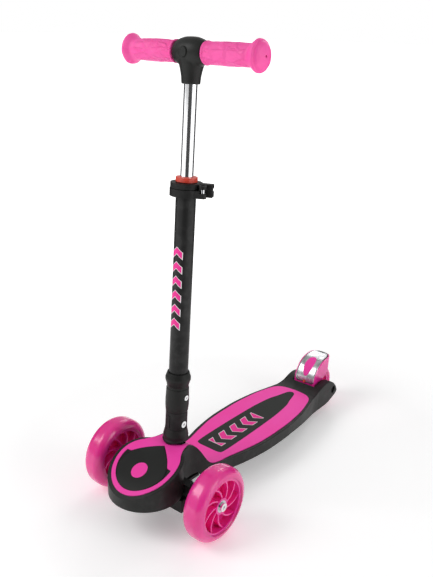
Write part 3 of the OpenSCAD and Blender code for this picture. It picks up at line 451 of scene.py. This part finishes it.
# The fender's outer face from its foot over the wheel to its lip, as (y, z) from the rear axle
REAR = [v / MM for v in JOINTS["rear_wheel_spin"]["pos_m"]]
fender_line = curve_through([(-52.5, 24), (-50.5, 38), (-44, 50.5), (-35, 60.5), (-22, 68), (-8, 71.5),
                             (6, 72.8), (18, 73.5), (25.5, 72)], 8)
lengths = [0.0]
for p, q in zip(fender_line, fender_line[1:]):
    lengths.append(lengths[-1] + math.dist(p, q))
fender_y = [(length, p[0]) for length, p in zip(lengths, fender_line)]
fender_z = [(length, p[1]) for length, p in zip(lengths, fender_line)]


def on_fender(s, x, lift):
    """The point at length s up the fender and x across it, lifted off its outer face."""
    y, z = value_at(fender_y, s), value_at(fender_z, s)
    y2, z2 = value_at(fender_y, s + 1), value_at(fender_z, s + 1)
    size = math.hypot(y2 - y, z2 - z)
    return (REAR[0] + x, REAR[1] + y - lift * (z2 - z) / size, REAR[2] + z + lift * (y2 - y) / size)


TRIM_TOP = lengths[-1] - 1.2
TRIM_R, TRIM_ROUND_Y, TRIM_TIP_Y = 23.6, 1, 24.5
TRIM_HALF_MIN = 0.5
TRIM_FOOT = 3.5
TRIM_LIFT, TRIM_RIM_LIFT = 1.1, 0.6
TRIM_ROWS, TRIM_COLS = 60, 12


def trim_half(s):
    """Half the trim plate's width at length s: straight, with a narrowed foot and a round lip."""
    y = value_at(fender_y, s)
    foot = TRIM_FOOT * max(0.0, 1 - s / TRIM_FOOT) ** 2
    if y >= TRIM_TIP_Y:
        return TRIM_HALF_MIN - foot
    return math.sqrt(max(0.0, TRIM_R ** 2 - max(0.0, y - TRIM_ROUND_Y) ** 2)) - foot


def fender_trim():
    """The bright plate on the fender, with its rim turned down."""
    rows = []
    for i in range(TRIM_ROWS + 1):
        s = TRIM_TOP * i / TRIM_ROWS
        half = max(TRIM_HALF_MIN, trim_half(s))
        rows.append([on_fender(s, half * c / TRIM_COLS, TRIM_LIFT if abs(c) < TRIM_COLS else TRIM_RIM_LIFT)
                     for c in range(-TRIM_COLS, TRIM_COLS + 1)])
    grid_piece("fender_trim", rows, "trim", "brake", "brake_plate", 0.9)


PAD_LOW, PAD_TOP = 14.0, 68.0
PAD_HALF = 12.6
# The pad's width at its low end, as a share of an oval's, and what it gains up to the top
PAD_TAPER = (0.78, 0.26)
PAD_RIM_LIFT, PAD_RISE = 0.9, 1.0
PAD_STEEP = 14
RIB_HEIGHT, RIB_PITCH = 0.28, 2.6
RIB_FROM, RIB_TO = 0.08, 0.92
PAD_ROWS, PAD_COLS = 80, 14


def fender_pad():
    """The soft oval pad on the trim plate, domed and ribbed across."""
    rows = []
    for i in range(PAD_ROWS + 1):
        s = PAD_LOW + (PAD_TOP - PAD_LOW) * i / PAD_ROWS
        t = (s - PAD_LOW) / (PAD_TOP - PAD_LOW)
        oval = math.sqrt(max(0.0, 1 - (2 * t - 1) ** 2))
        half = max(0.05, PAD_HALF * oval * (PAD_TAPER[0] + PAD_TAPER[1] * t))
        rib = RIB_HEIGHT * math.cos(2 * math.pi * s / RIB_PITCH) if RIB_FROM < t < RIB_TO else 0.0
        end_slope = min(1.0, PAD_STEEP * t, PAD_STEEP * (1 - t))
        row = []
        for c in range(-PAD_COLS, PAD_COLS + 1):
            rise = PAD_RISE + (rib if abs(c) < PAD_COLS - 2 else 0)
            dome = 1 - (abs(c) / PAD_COLS) ** 6
            row.append(on_fender(s, half * c / PAD_COLS, PAD_RIM_LIFT + rise * dome * end_slope))
        rows.append(row)
    grid_piece("fender_pad", rows, "inlay_pink", "brake", "brake_pad", 0.8)


HEAD_Y = -76.0
INSET_R, INSET_TIP = 53.0, 47.4
INSET_ROUND_TO = -18.1
INSET_LIFT, INSET_RIM_LIFT = 0.16, -0.2
INSET_ROWS, INSET_COLS = 90, 16


def drop_inset():
    """The head's inset: a round front that runs on, in one smooth outline, to a tip at the rear."""
    head_top = curve_through([(-147, 81), (-120, 97), (-100, 106.5), (-80, 115.5), (-60, 122.5),
                              (-40, 126.8), (-24, 128), (-8, 128)])
    side = curve_through([(INSET_ROUND_TO, 49.81), (-5, 49.0), (8, 43.2), (21.5, 31), (35, 16), (47.6, 0.3)])
    rows = []
    for i in range(INSET_ROWS + 1):
        t = i / INSET_ROWS
        y = -INSET_R + 0.2 + (INSET_TIP + INSET_R) * (1 - math.cos(math.pi * t)) / 2
        half = value_at(side, y)
        if y < INSET_ROUND_TO:
            half = math.sqrt(max(0.04, INSET_R ** 2 - y * y))
        z = value_at(head_top, HEAD_Y + y)
        rows.append([(half * c / INSET_COLS, COLUMN_Y / MM + HEAD_Y + y,
                      z + (INSET_LIFT if abs(c) < INSET_COLS else INSET_RIM_LIFT))
                     for c in range(-INSET_COLS, INSET_COLS + 1)])
    grid_piece("drop_inset", rows, "shell_black", "deck", "head_inset", 0.8)


fender_trim()
fender_pad()
drop_inset()

# ---------- Floor, light and surroundings ----------

FLOOR_REACH = 40.0
FLOOR_DROP = 0.0005
# The floor brightens into the backdrop away from the scooter, so that no horizon shows
GLOW_WEAK, GLOW_STRONG = 0.28, 0.85
GLOW_NEAR, GLOW_FAR = 0.45, 1.5


def add_floor():
    """A pale floor just under the tyres."""
    mesh = bpy.data.meshes.new("floor")
    corners = [(x * FLOOR_REACH, y * FLOOR_REACH, 0) for x, y in ((-1, -1), (1, -1), (1, 1), (-1, 1))]
    mesh.from_pydata(corners, [], [(0, 1, 2, 3)])
    floor = link_object("floor", mesh)
    floor.location.z = -FLOOR_DROP
    pale = Shade("pale_floor")
    pale.color(pale.mix(pale.noise(3.0, 2.0), (0.93, 0.93, 0.93), (0.95, 0.95, 0.95)))
    away = pale.add("ShaderNodeVectorMath", operation="LENGTH")
    pale.link(pale.coord, away.inputs[0])
    glow = pale.span(away.outputs["Value"], GLOW_WEAK, GLOW_STRONG, GLOW_NEAR, GLOW_FAR)
    pale.link(glow, pale.bsdf.inputs["Emission Strength"])
    pale.set(Roughness=0.7, Emission_Color=WHITE)
    mesh.materials.append(pale.mat)


MIDDLE = Vector((0, 0, 0.35))


def softbox(name, place, size, power):
    """A white panel of light that faces the scooter's middle."""
    light = bpy.data.lights.new(name, "AREA")
    light.shape = "RECTANGLE"
    light.size, light.size_y = size
    light.energy = power
    obj = link_object(name, light)
    obj.location = place
    obj.rotation_euler = (Vector(place) - MIDDLE).to_track_quat("Z", "Y").to_euler()


CARD_HEIGHT, CARD_STEPS = 1.0, 6


def card(name, azimuth, distance, half_angle, shade):
    """A dark card that stands round the scooter for the chrome to reflect; cameras don't see it."""
    mesh = bpy.data.meshes.new(name)
    points = []
    for i in range(CARD_STEPS + 1):
        a = math.radians(azimuth + half_angle * (2 * i / CARD_STEPS - 1))
        x, y = distance * math.sin(a), COLUMN_Y - distance * math.cos(a)
        points += [(x, y, 0.0), (x, y, CARD_HEIGHT)]
    mesh.from_pydata(points, [], [(2 * i, 2 * i + 2, 2 * i + 3, 2 * i + 1) for i in range(CARD_STEPS)])
    obj = link_object(name, mesh)
    paper = Shade(name)
    paper.color(paper.mix(paper.noise(4.0), (shade,) * 3, (shade * 1.2,) * 3))
    paper.set(Roughness=0.9)
    mesh.materials.append(paper.mat)
    obj.visible_camera = False
    obj.visible_shadow = False


def add_world():
    """Surroundings that are white to the camera and dimmer as a light."""
    world = bpy.data.worlds.new("studio")
    bpy.context.scene.world = world
    world.use_nodes = True
    nodes, links = world.node_tree.nodes, world.node_tree.links
    around = nodes["Background"]
    around.inputs["Color"].default_value = WHITE
    around.inputs["Strength"].default_value = 0.5
    seen = nodes.new("ShaderNodeBackground")
    seen.inputs["Color"].default_value = WHITE
    seen.inputs["Strength"].default_value = 1.0
    ray = nodes.new("ShaderNodeLightPath")
    both = nodes.new("ShaderNodeMixShader")
    links.new(ray.outputs["Is Camera Ray"], both.inputs[0])
    links.new(around.outputs[0], both.inputs[1])
    links.new(seen.outputs[0], both.inputs[2])
    links.new(both.outputs[0], nodes["World Output"].inputs["Surface"])


add_floor()
softbox("key", (-1.3, -1.9, 2.2), (1.4, 1.4), 30)
softbox("fill", (2.6, 0.3, 1.3), (1.2, 1.8), 16)
softbox("back", (-0.6, 2.4, 1.8), (1.8, 1.2), 16)

# One card faces the camera's side and two stand 132 degrees round from it
CARD_AZIMUTH, CARD_TURN = 41, 132
card("card_front", CARD_AZIMUTH, 1.25, 30, 0.05)
card("card_right", CARD_AZIMUTH + CARD_TURN, 1.15, 24, 0.02)
card("card_left", CARD_AZIMUTH - CARD_TURN, 1.15, 24, 0.02)

add_world()
bpy.context.scene.view_settings.view_transform = "Standard"
